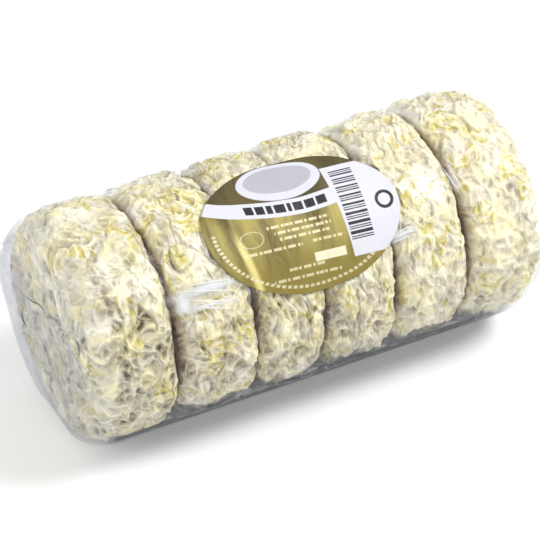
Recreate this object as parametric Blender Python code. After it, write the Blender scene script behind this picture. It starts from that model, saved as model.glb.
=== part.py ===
"""A log of soft goat cheeses: discs with a wrinkled rind, packed side by side in clear film.

The log lies along X in a clear trough tray, whose foot rests on Z = 0. An oval label is
stuck over the top and the -Y side. All lengths are in metres and all angles in radians.
"""

import itertools
import math

import bmesh
import bpy
import numpy as np

CHEESE_THICKNESSES = (0.0238, 0.0228, 0.0205, 0.0213, 0.0222, 0.0235)
CHEESE_RADIUS = 0.031
END_ROUNDING = 0.0072
JOINT_ROUNDING = 0.0054
JOINT_DEPTH = 0.0043

WRINKLE_SIZES = (0.021, 0.0105, 0.0072)
WRINKLE_HEIGHTS = (0.0009, 0.0008, 0.0006)
WRINKLE_SINK = 0.0005
WRINKLE_SEED = 7

TRAY_RADIUS = 0.0331
TRAY_WALL = 0.00055
TRAY_LENGTH = 0.1362
TRAY_FLARE = 0.025
TRAY_END_ROUNDING = 0.0085
FOOT_DEPTH = 0.0325
FOOT_WIDTH = 0.024
FOOT_CORNER = 0.009
SIDE_RIM_ANGLE = math.radians(83)
END_RIM_ANGLE = math.radians(105)
RIM_SWEEP = 0.011

LABEL_LENGTH = 0.0558
LABEL_WIDTH = 0.0394
LABEL_THICKNESS = 0.0004
LABEL_RADIUS = 0.0316
LABEL_X = -0.00205
LABEL_ANGLE = math.radians(34.1)
LABEL_TURN = math.radians(3.9)
LABEL_MARGIN = 1.06
LABEL_BRIDGE = 0.3

CLEARANCE = 0.00035
FACET_DIP = 0.0002

RING_SIDES = 64
END_ROWS = 18
CHEESE_ROWS = 10
OUTLINE_STEPS = 400
TRAY_CURVE_STEPS = 6
FOOT_CORNER_STEPS = 4
TRAY_BODY_STEPS = 5
TRAY_SWEEP_STEPS = 4
TRAY_ROUNDING_STEPS = 4
TRAY_END_STEPS = 4
LABEL_SIDES = 36
LABEL_RINGS = 4

AXIS_HEIGHT = FOOT_DEPTH
GRADIENT_COUNT = 256
CELL_HASH = np.array((73856093, 19349663, 83492791), dtype=np.int64)


def clear_scene():
    for item in list(bpy.data.objects):
        bpy.data.objects.remove(item, do_unlink=True)


def make_material(name, colour, roughness, alpha=1.0):
    material = bpy.data.materials.new(name)
    material.use_nodes = True
    shader = material.node_tree.nodes["Principled BSDF"]
    shader.inputs["Base Color"].default_value = (*colour, 1.0)
    shader.inputs["Roughness"].default_value = roughness
    shader.inputs["Metallic"].default_value = 0.0
    shader.inputs["Alpha"].default_value = alpha
    return material


def add_object(name, points, faces, material):
    """Make an object of points about the log's axis, raised so that the foot is at Z = 0."""
    mesh = bpy.data.meshes.new(name)
    mesh.from_pydata([tuple(map(float, point)) for point in points], [], faces)
    mesh.materials.append(material)
    item = bpy.data.objects.new(name, mesh)
    item.location = (0.0, 0.0, AXIS_HEIGHT)
    bpy.context.scene.collection.objects.link(item)
    return item


def merge_close_points(item):
    work = bmesh.new()
    work.from_mesh(item.data)
    bmesh.ops.remove_doubles(work, verts=work.verts, dist=1e-6)
    work.to_mesh(item.data)
    work.free()


def shade(item, sharp_angle):
    item.data.shade_smooth()
    item.data.set_sharp_from_angle(angle=sharp_angle)


def thicken(item, thickness, offset):
    wall = item.modifiers.new("Wall", "SOLIDIFY")
    wall.thickness = thickness
    wall.offset = offset
    wall.use_even_offset = True


def band_faces(rows, columns, closed):
    """Faces of a grid of points, row by row, whose columns may close on themselves."""
    faces = []
    for row in range(rows - 1):
        for column in range(columns if closed else columns - 1):
            beside = (column + 1) % columns
            here, above = row * columns, (row + 1) * columns
            faces.append((here + column, here + beside, above + beside, above + column))
    return faces


def ease(value):
    value = np.clip(value, 0.0, 1.0)
    return value * value * (3.0 - 2.0 * value)


def gradient_noise(points, size, seed):
    """Smooth noise, mostly within -0.7 and 0.7, over cells of the given size."""
    draw = np.random.RandomState(seed)
    gradients = draw.normal(size=(GRADIENT_COUNT, 3))
    gradients /= np.linalg.norm(gradients, axis=1, keepdims=True)
    scaled = points / size
    cell = np.floor(scaled).astype(np.int64)
    part = scaled - cell
    fade = part ** 3 * (part * (part * 6.0 - 15.0) + 10.0)
    total = np.zeros(points.shape[:-1])
    for corner in itertools.product((0, 1), repeat=3):
        mixed = np.bitwise_xor.reduce((cell + corner) * CELL_HASH, axis=-1)
        mixed = (mixed ^ (mixed >> 13)) * 1274126177
        gradient = gradients[(mixed >> 7) % GRADIENT_COUNT]
        weight = np.where(corner, fade, 1.0 - fade).prod(axis=-1)
        total += weight * (gradient * (part - corner)).sum(axis=-1)
    return total


def rind_relief(points):
    """Height of the rind's broad swells and of the sharp-backed wrinkles on them."""
    relief = WRINKLE_HEIGHTS[0] * gradient_noise(points, WRINKLE_SIZES[0], WRINKLE_SEED)
    for step in (1, 2):
        waves = gradient_noise(points, WRINKLE_SIZES[step], WRINKLE_SEED + step)
        relief += WRINKLE_HEIGHTS[step] * np.clip(1.0 - 4.0 * np.abs(waves), -1.0, 1.0)
    return relief - WRINKLE_SINK


def joint_places():
    """X of the log's two ends and, between them, of the joints between neighbours."""
    places = np.concatenate(([0.0], np.cumsum(CHEESE_THICKNESSES)))
    return places - places[-1] / 2.0


def joint_drop(distance):
    """How far the rind lies inside the full radius, at a distance from the nearest joint."""
    inside = np.clip(JOINT_ROUNDING - distance, 0.0, JOINT_ROUNDING)
    drop = JOINT_ROUNDING - np.sqrt(JOINT_ROUNDING ** 2 - inside ** 2)
    return np.minimum(drop, JOINT_DEPTH)


def even_rows(line, count):
    """Points spread evenly along a line of X and radius, its last point left out."""
    steps = np.linalg.norm(np.diff(line, axis=0), axis=1)
    travelled = np.concatenate(([0.0], np.cumsum(steps)))
    wanted = np.linspace(0.0, travelled[-1], count + 1)[:-1]
    return np.stack([np.interp(wanted, travelled, line[:, axis]) for axis in (0, 1)], axis=1)


def log_outline():
    """Rows of X and radius from the middle of one end face to the middle of the other."""
    places = joint_places()
    turn = np.linspace(0.0, math.pi / 2.0, OUTLINE_STEPS)
    flat_radius = CHEESE_RADIUS - END_ROUNDING
    rounding = np.stack([places[0] + END_ROUNDING * (1.0 - np.cos(turn)),
                         flat_radius + END_ROUNDING * np.sin(turn)], axis=1)
    mirrored = rounding[::-1] * (-1.0, 1.0)
    rows = []
    for index, (start, end) in enumerate(zip(places, places[1:])):
        first, last = index == 0, index == len(CHEESE_THICKNESSES) - 1
        x = np.linspace(start + END_ROUNDING * first, end - END_ROUNDING * last, OUTLINE_STEPS)
        from_joint = np.minimum(x - start + first, end - x + last)
        line = np.stack([x, CHEESE_RADIUS - joint_drop(from_joint)], axis=1)
        if first:
            line = np.concatenate(([(start, 0.0)], rounding, line))
        if last:
            line = np.concatenate((line, mirrored, [(end, 0.0)]))
        rows.append(even_rows(line, END_ROWS if first or last else CHEESE_ROWS))
    return np.concatenate(rows)[1:]


def outline_normals(outline):
    along = np.gradient(outline, axis=0)
    along /= np.linalg.norm(along, axis=1, keepdims=True)
    return np.stack([-along[:, 1], along[:, 0]], axis=1)


def label_reach(x, angle):
    """1 at the label's edge, less inside it, on a surface rolled about the log's axis."""
    along, across = x - LABEL_X, (angle - LABEL_ANGLE) * LABEL_RADIUS
    cosine, sine = math.cos(LABEL_TURN), math.sin(LABEL_TURN)
    length = (along * cosine + across * sine) / (LABEL_LENGTH / 2.0)
    width = (across * cosine - along * sine) / (LABEL_WIDTH / 2.0)
    return np.hypot(length, width)


def rolled(x, radius, angle):
    """A point at an angle about the axis, 0 at the top and growing towards -Y."""
    return np.stack([x, -radius * np.sin(angle), radius * np.cos(angle)], axis=-1)


def tray_inset(x):
    """How far the tray's rounded ends are drawn in towards the axis at X."""
    past = (np.abs(x) - TRAY_LENGTH / 2.0) / TRAY_END_ROUNDING + 1.0
    return TRAY_END_ROUNDING * (1.0 - np.sqrt(1.0 - np.clip(past, 0.0, 1.0) ** 2))


def press_into_tray(points):
    """Keep the cheeses clear of the tray's wall, floor and ends."""
    gap = TRAY_WALL + CLEARANCE
    end = TRAY_LENGTH / 2.0 - gap
    points[:, 0] = np.clip(points[:, 0], -end, end)
    inset = tray_inset(points[:, 0])
    room = TRAY_RADIUS - inset - gap - FACET_DIP
    radius = np.hypot(points[:, 1], points[:, 2])
    points[:, 1:] *= np.minimum(1.0, room / np.maximum(radius, room / 2.0))[:, None]
    floor = -FOOT_DEPTH * (1.0 - inset / TRAY_RADIUS) + gap + FACET_DIP
    points[:, 2] = np.maximum(points[:, 2], floor)
    return points


def smooth_under_label(radius, x, angle):
    """Film and label span the joints and wrinkles, so the surface is even under them."""
    cover = 1.0 - ease((label_reach(x, angle) - LABEL_MARGIN) / LABEL_BRIDGE)
    return radius + cover * (LABEL_RADIUS - CLEARANCE - radius)


def build_wrapped_cheeses():
    outline = log_outline()
    normals = outline_normals(outline)
    angle = np.linspace(-math.pi, math.pi, RING_SIDES, endpoint=False)
    x, angles = np.meshgrid(outline[:, 0], angle, indexing="ij")
    radius = np.repeat(outline[:, 1:], RING_SIDES, axis=1)
    relief = rind_relief(rolled(x, radius, angles))
    x = x + relief * normals[:, :1]
    radius = radius + relief * normals[:, 1:]
    radius = smooth_under_label(radius, x, angles)
    points = press_into_tray(rolled(x, radius, angles).reshape(-1, 3))
    rows = len(outline)
    faces = band_faces(rows, RING_SIDES, closed=True)
    low, high = rows * RING_SIDES, rows * RING_SIDES + 1
    last = (rows - 1) * RING_SIDES
    for side in range(RING_SIDES):
        beside = (side + 1) % RING_SIDES
        faces.append((low, beside, side))
        faces.append((high, last + side, last + beside))
    middles = [(points[:RING_SIDES, 0].mean(), 0.0, 0.0), (points[last:, 0].mean(), 0.0, 0.0)]
    rind = make_material("rind", (0.86, 0.81, 0.62), 0.6)
    item = add_object("wrapped_cheeses", np.concatenate((points, middles)), faces, rind)
    shade(item, math.radians(70))


def tray_section(rim_angle):
    """Half of the trough's outline as Y and Z, from the middle of the foot up to the rim."""
    half_foot = FOOT_WIDTH / 2.0
    reach = math.hypot(half_foot, FOOT_DEPTH)
    meets = math.atan2(half_foot, FOOT_DEPTH) + math.acos(TRAY_RADIUS / reach)
    sweep = np.linspace(meets, rim_angle, TRAY_CURVE_STEPS + 1)
    side = np.stack([TRAY_RADIUS * np.sin(sweep), -TRAY_RADIUS * np.cos(sweep)], axis=1)
    setback = FOOT_CORNER * math.tan(meets / 2.0)
    turn = np.linspace(0.0, meets, FOOT_CORNER_STEPS)
    corner = np.stack([half_foot - setback + FOOT_CORNER * np.sin(turn),
                       -FOOT_DEPTH + FOOT_CORNER * (1.0 - np.cos(turn))], axis=1)
    middle = [(0.0, -FOOT_DEPTH)]
    return np.concatenate((middle, corner, side))


def tray_row(x, inset, rim_angle):
    """One ring of the trough, from rim to rim, drawn in towards the axis by an inset."""
    half = tray_section(rim_angle) * (1.0 - inset / TRAY_RADIUS)
    section = np.concatenate((half[:0:-1] * (-1.0, 1.0), half))
    return np.column_stack([np.full(len(section), x), section])


def half_tray_rows():
    """Rings from the trough's middle to the top edge of its +X end wall."""
    straight = TRAY_LENGTH / 2.0 - TRAY_END_ROUNDING
    sweep_start = straight - RIM_SWEEP
    body = np.linspace(0.0, sweep_start, TRAY_BODY_STEPS, endpoint=False)
    sweep = np.linspace(sweep_start, straight, TRAY_SWEEP_STEPS, endpoint=False)
    rows = []
    for x in (*body, *sweep):
        share = float(ease((x - sweep_start) / RIM_SWEEP))
        rim_angle = SIDE_RIM_ANGLE + share * (END_RIM_ANGLE - SIDE_RIM_ANGLE)
        rows.append(tray_row(x, 0.0, rim_angle))
    for turn in np.linspace(0.0, math.pi / 2.0, TRAY_ROUNDING_STEPS + 1):
        x = straight + TRAY_END_ROUNDING * math.sin(turn)
        rows.append(tray_row(x, TRAY_END_ROUNDING * (1.0 - math.cos(turn)), END_RIM_ANGLE))
    lower = rows[-1]
    spread = (1.0 - np.cos(np.linspace(0.0, math.pi, len(lower)))) / 2.0
    upper = lower[0] + spread[:, None] * (lower[-1] - lower[0])
    for share in np.linspace(0.0, 1.0, TRAY_END_STEPS + 1)[1:]:
        rows.append(lower + share * (upper - lower))
    return rows


def build_tray():
    half = half_tray_rows()
    rows = [row * (-1.0, 1.0, 1.0) for row in half[:0:-1]] + half
    points = np.concatenate(rows)
    points[:, 0] *= 1.0 + TRAY_FLARE * (points[:, 2] + FOOT_DEPTH) * 2.0 / TRAY_LENGTH
    faces = band_faces(len(rows), len(rows[0]), closed=False)
    plastic = make_material("clear_plastic", (0.72, 0.73, 0.78), 0.12, alpha=0.35)
    item = add_object("tray", points, faces, plastic)
    merge_close_points(item)
    thicken(item, TRAY_WALL, -1.0)
    shade(item, math.radians(40))


def label_point(share, turn):
    """A point of the label at a share of its reach and a turn about its middle."""
    length = share * LABEL_LENGTH / 2.0 * math.cos(turn)
    width = share * LABEL_WIDTH / 2.0 * math.sin(turn)
    along = length * math.cos(LABEL_TURN) - width * math.sin(LABEL_TURN)
    across = length * math.sin(LABEL_TURN) + width * math.cos(LABEL_TURN)
    return rolled(LABEL_X + along, LABEL_RADIUS, LABEL_ANGLE + across / LABEL_RADIUS)


def build_label():
    shares = np.linspace(0.0, 1.0, LABEL_RINGS + 1)[1:]
    turns = np.linspace(0.0, 2.0 * math.pi, LABEL_SIDES, endpoint=False)
    points = [label_point(share, turn) for share in shares for turn in turns]
    faces = band_faces(LABEL_RINGS, LABEL_SIDES, closed=True)
    middle = len(points)
    points.append(label_point(0.0, 0.0))
    faces += [(middle, (side + 1) % LABEL_SIDES, side) for side in range(LABEL_SIDES)]
    paper = make_material("label", (0.55, 0.44, 0.16), 0.35)
    item = add_object("label", points, faces, paper)
    thicken(item, LABEL_THICKNESS, 1.0)
    shade(item, math.radians(40))


def main():
    clear_scene()
    build_wrapped_cheeses()
    build_tray()
    build_label()


main()
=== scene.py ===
"""Looks of the goat cheese log: wrinkled cheeses in clear film on a clear tray, with a label.

The log lies along X, the tray's foot stands on Z = 0 and the label's side faces -Y.
Lengths are in metres. An angle round the log is 0 at the top and grows towards -Y.
"""

import itertools
import math

import bmesh
import bpy
import numpy as np
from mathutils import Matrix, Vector
from mathutils.bvhtree import BVHTree


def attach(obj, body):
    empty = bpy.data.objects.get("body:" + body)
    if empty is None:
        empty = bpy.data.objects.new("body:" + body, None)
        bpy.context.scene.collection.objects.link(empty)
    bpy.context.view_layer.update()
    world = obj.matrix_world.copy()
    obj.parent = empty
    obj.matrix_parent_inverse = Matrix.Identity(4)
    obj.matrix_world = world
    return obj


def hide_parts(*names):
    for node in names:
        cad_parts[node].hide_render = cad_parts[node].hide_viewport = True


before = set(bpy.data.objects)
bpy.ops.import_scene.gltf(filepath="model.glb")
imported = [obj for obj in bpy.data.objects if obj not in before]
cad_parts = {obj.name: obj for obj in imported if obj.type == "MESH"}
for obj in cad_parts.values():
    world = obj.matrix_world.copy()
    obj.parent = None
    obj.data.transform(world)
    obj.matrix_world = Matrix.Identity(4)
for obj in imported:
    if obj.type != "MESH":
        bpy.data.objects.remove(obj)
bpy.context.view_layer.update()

MM = 0.001

CHEESE_THICKNESSES = (0.0238, 0.0228, 0.0205, 0.0213, 0.0222, 0.0235)
CHEESE_RADIUS = 0.031
END_ROUNDING = 0.0072
JOINT_ROUNDING = 0.0054
JOINT_GAP = 0.0001
# number of points round a cheese, and spacing of its rows on the side, an end and a hidden face
CHEESE_COLUMNS = 512
CHEESE_STEP = 0.00036
FACE_STEP = 0.00045
HIDDEN_STEP = 0.004
# share of the relief that the flat end faces keep
FACE_RELIEF = 0.8

SWELL_SIZE, SWELL_HEIGHT = 0.021, 0.0009
# size, height and share of stretch of each band of wrinkles
WRINKLES = (
    (0.0105, 0.00055, 0.3),
    (0.0072, 0.00072, 0.7),
    (0.0043, 0.00066, 1.0),
    (0.0027, 0.00024, 1.0),
    (0.0016, 0.0001, 1.0),
)
WRINKLE_SINK = 0.0005
STAIN_SIZE, STAIN_BREAK_SIZE = 0.0085, 0.0031
WRINKLE_SEED = 7
WARP_SIZE, WARP_REACH = 0.0075, 0.0016
# how much narrower the wrinkles of each cheese are along X than around it
STRETCHES = (1.1, 1.3, 1.8, 2.0, 1.7, 1.4)
# joint number from the -X end, angle, half width in angle, opening
JOINT_OPENINGS = (
    (1, 78.0, 34.0, 0.0017),
    (1, 30.0, 26.0, 0.0005),
    (2, 74.0, 24.0, 0.0009),
    (3, 88.0, 22.0, 0.0007),
    (4, 84.0, 24.0, 0.0008),
    (5, 62.0, 38.0, 0.0011),
    (5, 12.0, 24.0, 0.0009),
    (2, 200.0, 60.0, 0.0008),
    (4, 290.0, 40.0, 0.0009),
)
OPENING_REACH = 0.008
OPENING_DEPTH = 0.009
# shares of an opening that part the rims along X and draw them inwards
OPENING_ALONG, OPENING_INWARD = 0.7, 0.6
# depths under the rim over which a joint darkens to brown, partly the rind's own brown and partly
# painted shade, and softness of that edge along X
BROWN_AND_SHADE_DEPTHS = (0.0012, 0.0048)
BROWN_AND_SHADE_EDGE = 0.001

TRAY_RADIUS = 0.0331
TRAY_WALL = 0.00055
TRAY_LENGTH = 0.1362
TRAY_FLARE = 0.025
TRAY_END_ROUNDING = 0.0085
TRAY_CURVE_STEPS, TRAY_CORNER_STEPS = 26, 9
TRAY_STRAIGHT_ROWS, TRAY_SWEEP_ROWS, TRAY_ROUND_ROWS, TRAY_END_ROWS = 16, 14, 11, 12
TRAY_SHARP_ANGLE = math.radians(50)
FOOT_DEPTH = 0.0325
FOOT_WIDTH = 0.024
FOOT_CORNER = 0.009
SIDE_RIM_ANGLE = math.radians(83)
END_RIM_ANGLE = math.radians(105)
RIM_SWEEP = 0.011
CONTACT_GAP = 0.0001
# how far a cheese sags outwards along its underside
SLUMP = 0.0009

FILM_WALL = 0.00007
FILM_LIFT = 0.00022
FILM_COLUMNS = 232
FILM_CORE_RADIUS, FILM_CORE_LENGTH, FILM_CORE_ROUNDING = 0.029, 0.132, 0.008
FILM_STEP = 0.00095
FILM_RAY = 0.013
# how far past its own ends a piece is still looked for under the film
FILM_SEARCH = 0.012
FILM_TENSION = 26
# share of a point's highest neighbour in the film's own height there
FILM_SPAN = 0.6
# heights off the contents over which the film turns misty, and mist at the middles of its ends
FILM_MIST = (0.0004, 0.003)
FILM_MIDDLE_MIST = 0.3
# how far the film stands off the -X end, most at the back of its upper half
FILM_TENT = 0.0027
# angles over which the tent grows from the front, sinks at the back, ends below and turns misty
TENT_FRONT, TENT_BACK, TENT_BELOW = (40.0, -30.0), (-70.0, -115.0), (-140.0, -180.0)
TENT_MIST = (-48.0, -80.0)
TENT_BACK_SINK = 0.62
TENT_RING = (0.008, 0.024)

LABEL_LENGTH = 0.0558
LABEL_WIDTH = 0.0394
LABEL_WALL = 0.00012
LABEL_RADIUS = 0.0316
LABEL_X = -0.00205
LABEL_ANGLE = math.radians(34.1)
LABEL_TURN = math.radians(3.9)
# radius down to which the cheeses are pressed under the label
LABEL_PRESS = 0.0311
LABEL_LIFT = 0.00006
LABEL_SIDES, LABEL_RINGS = 200, 56
LABEL_TENSION = 30
CRUMPLE_SIZE, CRUMPLE_HEIGHT = 0.0042, 0.00012

# creases of the film as X and angle, in mm and degrees
CREASES = (
    ((-42.4, 47.2), (-35.1, 49.4), (-23.7, 52.1)),
    ((-42.5, 49.6), (-34.3, 53.2), (-25.1, 57.6)),
    ((-41.2, 53.8), (-33.7, 58.3), (-25.4, 62.4)),
    ((-39.2, 58.8), (-32.9, 62.1), (-26.8, 65.5)),
    ((-41.7, 53.0), (-41.5, 57.6), (-41.4, 61.6)),
    ((-35.0, 57.7), (-33.2, 62.0), (-31.6, 66.1)),
    ((19.1, 58.9), (23.9, 57.9), (28.5, 57.3)),
    ((20.0, 56.9), (24.0, 56.0), (27.6, 55.4)),
    ((20.9, 55.4), (23.8, 53.9), (26.2, 53.1)),
    ((41.3, 28.5), (42.3, 37.3), (43.5, 46.0)),
    ((43.3, 28.2), (43.9, 37.1), (44.6, 45.1)),
)
CREASE_RADIUS = 0.00018
CREASE_POINTS = 24
MORE_CREASES = 26
MORE_CREASE_X = 0.055
MORE_CREASE_TURNS = (-105.0, -12.0)
MORE_CREASE_LENGTHS = (0.003, 0.011)
MORE_CREASE_LEAN = 0.12
# painted highlights of the film, blurred: X, angle and half size along and across, in mm and degrees
PAINTED_GLINTS = ((-40.5, 57.0, 1.8, 6.0), (-32.5, 59.5, 7.0, 3.8), (-31.0, 66.5, 3.5, 2.0),
          (-33.5, 52.0, 8.0, 2.8), (24.0, 56.0, 3.5, 2.0),
          (-20.0, -40.0, 5.0, 3.0), (30.0, -62.0, 6.0, 3.0), (4.0, -75.0, 4.0, 2.5),
          (-56.0, -30.0, 3.0, 4.0))
# path of the film's folded ear, in mm
FILM_EAR = ((-68.9, 27.0, 43.5), (-70.6, 24.5, 46.5), (-71.0, 20.0, 50.5), (-69.6, 16.0, 54.8))
FILM_EAR_RADIUS = 0.0006
# paths of the hairs over the -X end, as Y and Z in mm
HAIRS = (
    ((10.2, 38.0), (5.9, 39.4), (1.3, 41.6), (-2.8, 42.5)),
    ((15.3, 29.2), (13.6, 27.6), (11.1, 27.0)),
)
HAIR_X = -0.0698
HAIR_RADIUS = 0.00017

# rind: scale of the wide and of the thin folds, with the half width of their crests
FOLD_LINES = ((112.0, 0.024), (215.0, 0.026))
FOLD_STEEPNESS = 6.0
# where along X the cheeses turn fresher, the first one begins and the painted shade on its lower part
# stops short of its end face
FRESHER_FROM = (-0.02, 0.03)
FIRST_CHEESE = (-0.042, -0.046)
LOWER_SHADE_END = (-0.0665, -0.063)
# heights over which a painted shade darkens the first cheese downwards and the painted shade in the
# hollows grows weaker upwards
LOWER_SHADE_HEIGHT = (0.05, 0.015)
RIND_TOP = (0.046, 0.061)
# the last of these is a painted shade for the first cheese's lower part
IVORY, CREAM, FRESH, LOWER_SHADE = (240, 233, 212), (235, 225, 182), (246, 240, 220), (208, 197, 158)
# painted shade in the hollows, darker on the first cheese, then the joints' brown, partly painted shade
HOLLOW_SHADE, FIRST_CHEESE_SHADE, JOINT_BROWN_AND_SHADE = (124, 106, 74), (88, 72, 44), (124, 90, 54)
STAIN, DARK_STAIN = (220, 206, 112), (186, 169, 76)
# pale crests of the folds: partly the rind's own paler crests, partly painted highlight
PALE_CREST_AND_HIGHLIGHT, WARM_CREST_AND_HIGHLIGHT = (255, 252, 228), (254, 247, 194)

# film: where it turns misty at its -X end and back, greyer at that end and clearer by the foot
MISTY_END = (-0.060, -0.0665)
MISTY_BACK = (-0.01, 0.004)
GREYER_END = (-0.064, -0.069)
FOOT_BAND = (0.012, 0.023)
STREAK_SCALES = (60.0, 420.0, 420.0)
CLEAR_FILM, END_FILM = (240, 242, 246), (196, 198, 208)
# the creases are pale as painted highlights
CREASE_HIGHLIGHT_WHITE, CREASE_HIGHLIGHT_GREY = (255, 255, 255), (236, 238, 244)
HAIR_BLACK, HAIR_GREY = (22, 22, 26), (44, 42, 46)

# tray: the dark band along its foot is a painted shade, higher towards the middle, with a wavy upper
# edge
BAND_TOP, BAND_RISE, BAND_WAVE, BAND_EDGE = 0.0068, 0.0072, 0.016, 0.0008
BAND_HIGHER_FROM = (0.064, 0.046)
BAND_LOWER_EDGE = (0.0016, 0.0034)
BAND_END = (0.066, 0.058)
# clear plastic, and the dark of the painted shade band along the foot
CLEAR_TRAY, SHADE_BAND_DARK = (222, 226, 236), (14, 14, 16)

# label: places and sizes of its print, in mm from its middle
PRINT_SOFTNESS = 0.08
BAND_CENTRE, BAND_BEND, BAND_HALF = (1.0, 3.9), 0.0075, 2.4
BAND_WORDS = ((-14.5, -12.2), (-11.6, -9.2), (-8.6, -7.0), (-6.4, -3.4), (-2.8, -1.7), (-1.1, 1.6),
              (2.2, 5.0), (5.6, 8.4))
WORD_HALF = 1.25
CROWN_OVAL, CROWN_INNER_OVAL = (-1.9, 13.0, 11.8, 6.4), (-1.9, 13.6, 9.6, 4.6)
PANEL_LEFT, PANEL_LEAN, PANEL_HEIGHTS = 10.9, 0.06, (-13.0, 13.4)
BARS, CREAM_BLOCK = (11.9, 18.4, -9.0, 12.0), (0.6, 9.6, -12.0, -9.6)
PANEL_RING, STAMP_RING = (23.9, 0.2, 2.6, 2.6, 0.9), (-15.3, -2.7, 3.4, 2.3, 0.25)
SMALL_WORDS = ((-10.5, 6.8, -0.6), (-8.8, 7.4, -2.4), (-7.8, 6.4, -4.2), (-19.0, -2.0, -6.6),
               (1.0, 9.5, -6.4), (-7.5, 3.0, -12.6), (-12.0, 8.0, -15.0))
SMALL_HALF = 0.38
# the gold and olive fields' dark and light tones are painted sheen; the gleam is a painted highlight
DARK_GOLD, LIGHT_GOLD = (92, 80, 34), (168, 155, 88)
LOWER_GOLD, GOLD_HIGHLIGHT = (136, 122, 60), (244, 226, 150)
DARK_OLIVE, LIGHT_OLIVE = (76, 67, 38), (98, 88, 54)
LABEL_WHITE, CROWN_GREY = (210, 210, 218), (176, 176, 184)
WORD_BLACK, BAR_BLACK, RING_BLACK = (34, 33, 36), (38, 37, 40), (42, 41, 45)
SMALL_WORD_CREAM, BLOCK_CREAM, FAINT_CREAM = (226, 218, 178), (238, 232, 205), (232, 226, 190)

# name, place, width and height, and power of each soft light
LIGHTS = (
    ("key", (0.43, -0.26, 0.64), (0.32, 0.32), 5.4),
    ("fill", (-0.74, -0.14, 0.36), (0.5, 0.4), 3.2),
    ("rear", (0.0, 0.42, 0.66), (0.7, 0.3), 1.1),
)
LIT_PLACE = (0.0, 0.0, 0.03)
WORLD_STRENGTH = 0.41
FLOOR_REACH, FLOOR_GAP = 3.0, 0.0002

# the photograph's viewpoint about the log's middle, from the front towards -X and upwards
CAMERA_TURN, CAMERA_RISE = math.radians(27.63), math.radians(37.03)
CAMERA_DISTANCE = 0.6677
CAMERA_FOCAL_PIXELS, PHOTO_PIXELS = 2446.4, 540.0
CAMERA_AIM_PIXELS = (277.96, 259.85)

AXIS_HEIGHT = FOOT_DEPTH
CELL_HASH = np.array((73856093, 19349663, 83492791), dtype=np.int64)
HASH_FACTOR = 1274126177
GRADIENT_COUNT = 256
# places of the colours among the sockets of a Mix node
MIX_COLOUR_INPUTS, MIX_COLOUR_OUTPUT = (6, 7), 2


# Numbers and forms

def ease(value):
    value = np.clip(value, 0.0, 1.0)
    return value * value * (3.0 - 2.0 * value)


def ramp(value, low, high):
    return ease((value - low) / (high - low))


def gradient_noise(points, size, seed):
    """Smooth noise, mostly within -0.7 and 0.7, over cells of the given size."""
    draw = np.random.RandomState(seed)
    gradients = draw.normal(size=(GRADIENT_COUNT, 3))
    gradients /= np.linalg.norm(gradients, axis=1, keepdims=True)
    scaled = points / size
    cell = np.floor(scaled).astype(np.int64)
    part = scaled - cell
    fade = part ** 3 * (part * (part * 6.0 - 15.0) + 10.0)
    total = np.zeros(points.shape[:-1])
    for corner in itertools.product((0, 1), repeat=3):
        mixed = np.bitwise_xor.reduce((cell + corner) * CELL_HASH, axis=-1)
        mixed = (mixed ^ (mixed >> 13)) * HASH_FACTOR
        gradient = gradients[(mixed >> 7) % GRADIENT_COUNT]
        weight = np.where(corner, fade, 1.0 - fade).prod(axis=-1)
        total += weight * (gradient * (part - corner)).sum(axis=-1)
    return total


def rolled(x, radius, angle):
    """Points at an angle about the log's axis, in the part's frame."""
    return np.stack([x, -radius * np.sin(angle), AXIS_HEIGHT + radius * np.cos(angle)], axis=-1)


def joint_places():
    places = np.concatenate(([0.0], np.cumsum(CHEESE_THICKNESSES)))
    return places - places[-1] / 2.0


def grid_quads(rows, columns, closed=True, start=0, flip=False):
    """Corners of the faces of a grid of points, whose columns may close on themselves."""
    row, column = np.meshgrid(np.arange(rows - 1), np.arange(columns - (not closed)), indexing="ij")
    beside = (column + 1) % columns
    corners = (row * columns + column, row * columns + beside,
               (row + 1) * columns + beside, (row + 1) * columns + column)
    quads = np.stack(corners, axis=-1).reshape(-1, 4) + start
    return quads[:, ::-1] if flip else quads


def fan(middle, ring, flip=False):
    """Triangles from a middle point to a closed ring of points."""
    faces = np.stack([np.full(len(ring), middle), np.roll(ring, -1), ring], axis=1)
    return faces[:, ::-1] if flip else faces


def capped_grid(rows, columns, start=0, flip=False):
    """Quads of a closed tube of points, then triangles to its two middle points, stored last."""
    count = rows * columns
    ring = np.arange(columns) + start
    ends = np.concatenate((fan(count + start, ring, flip),
                           fan(count + 1 + start, ring + count - columns, not flip)))
    return grid_quads(rows, columns, start=start, flip=flip), ends


def add_piece(name, points, quads, triangles, material):
    """Make a mesh object at the origin, with its place in its points."""
    mesh = bpy.data.meshes.new(name)
    mesh.vertices.add(len(points))
    mesh.vertices.foreach_set("co", np.asarray(points, dtype=np.float32).ravel())
    triangles = np.zeros((0, 3), dtype=int) if triangles is None else triangles
    corners = np.concatenate((quads.ravel(), triangles.ravel()))
    sizes = np.concatenate((np.full(len(quads), 4), np.full(len(triangles), 3)))
    mesh.loops.add(len(corners))
    mesh.polygons.add(len(sizes))
    mesh.polygons.foreach_set("loop_start", np.concatenate(([0], np.cumsum(sizes)[:-1])))
    mesh.polygons.foreach_set("vertices", corners)
    mesh.update(calc_edges=True)
    mesh.materials.append(material)
    mesh.shade_smooth()
    item = bpy.data.objects.new(name, mesh)
    bpy.context.scene.collection.objects.link(item)
    return item


def store(item, name, values):
    """Keep one number for each point of a piece, for its material to read."""
    layer = item.data.attributes.new(name, "FLOAT", "POINT")
    layer.data.foreach_set("value", np.asarray(values, dtype=np.float32).ravel())


# Tray

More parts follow.
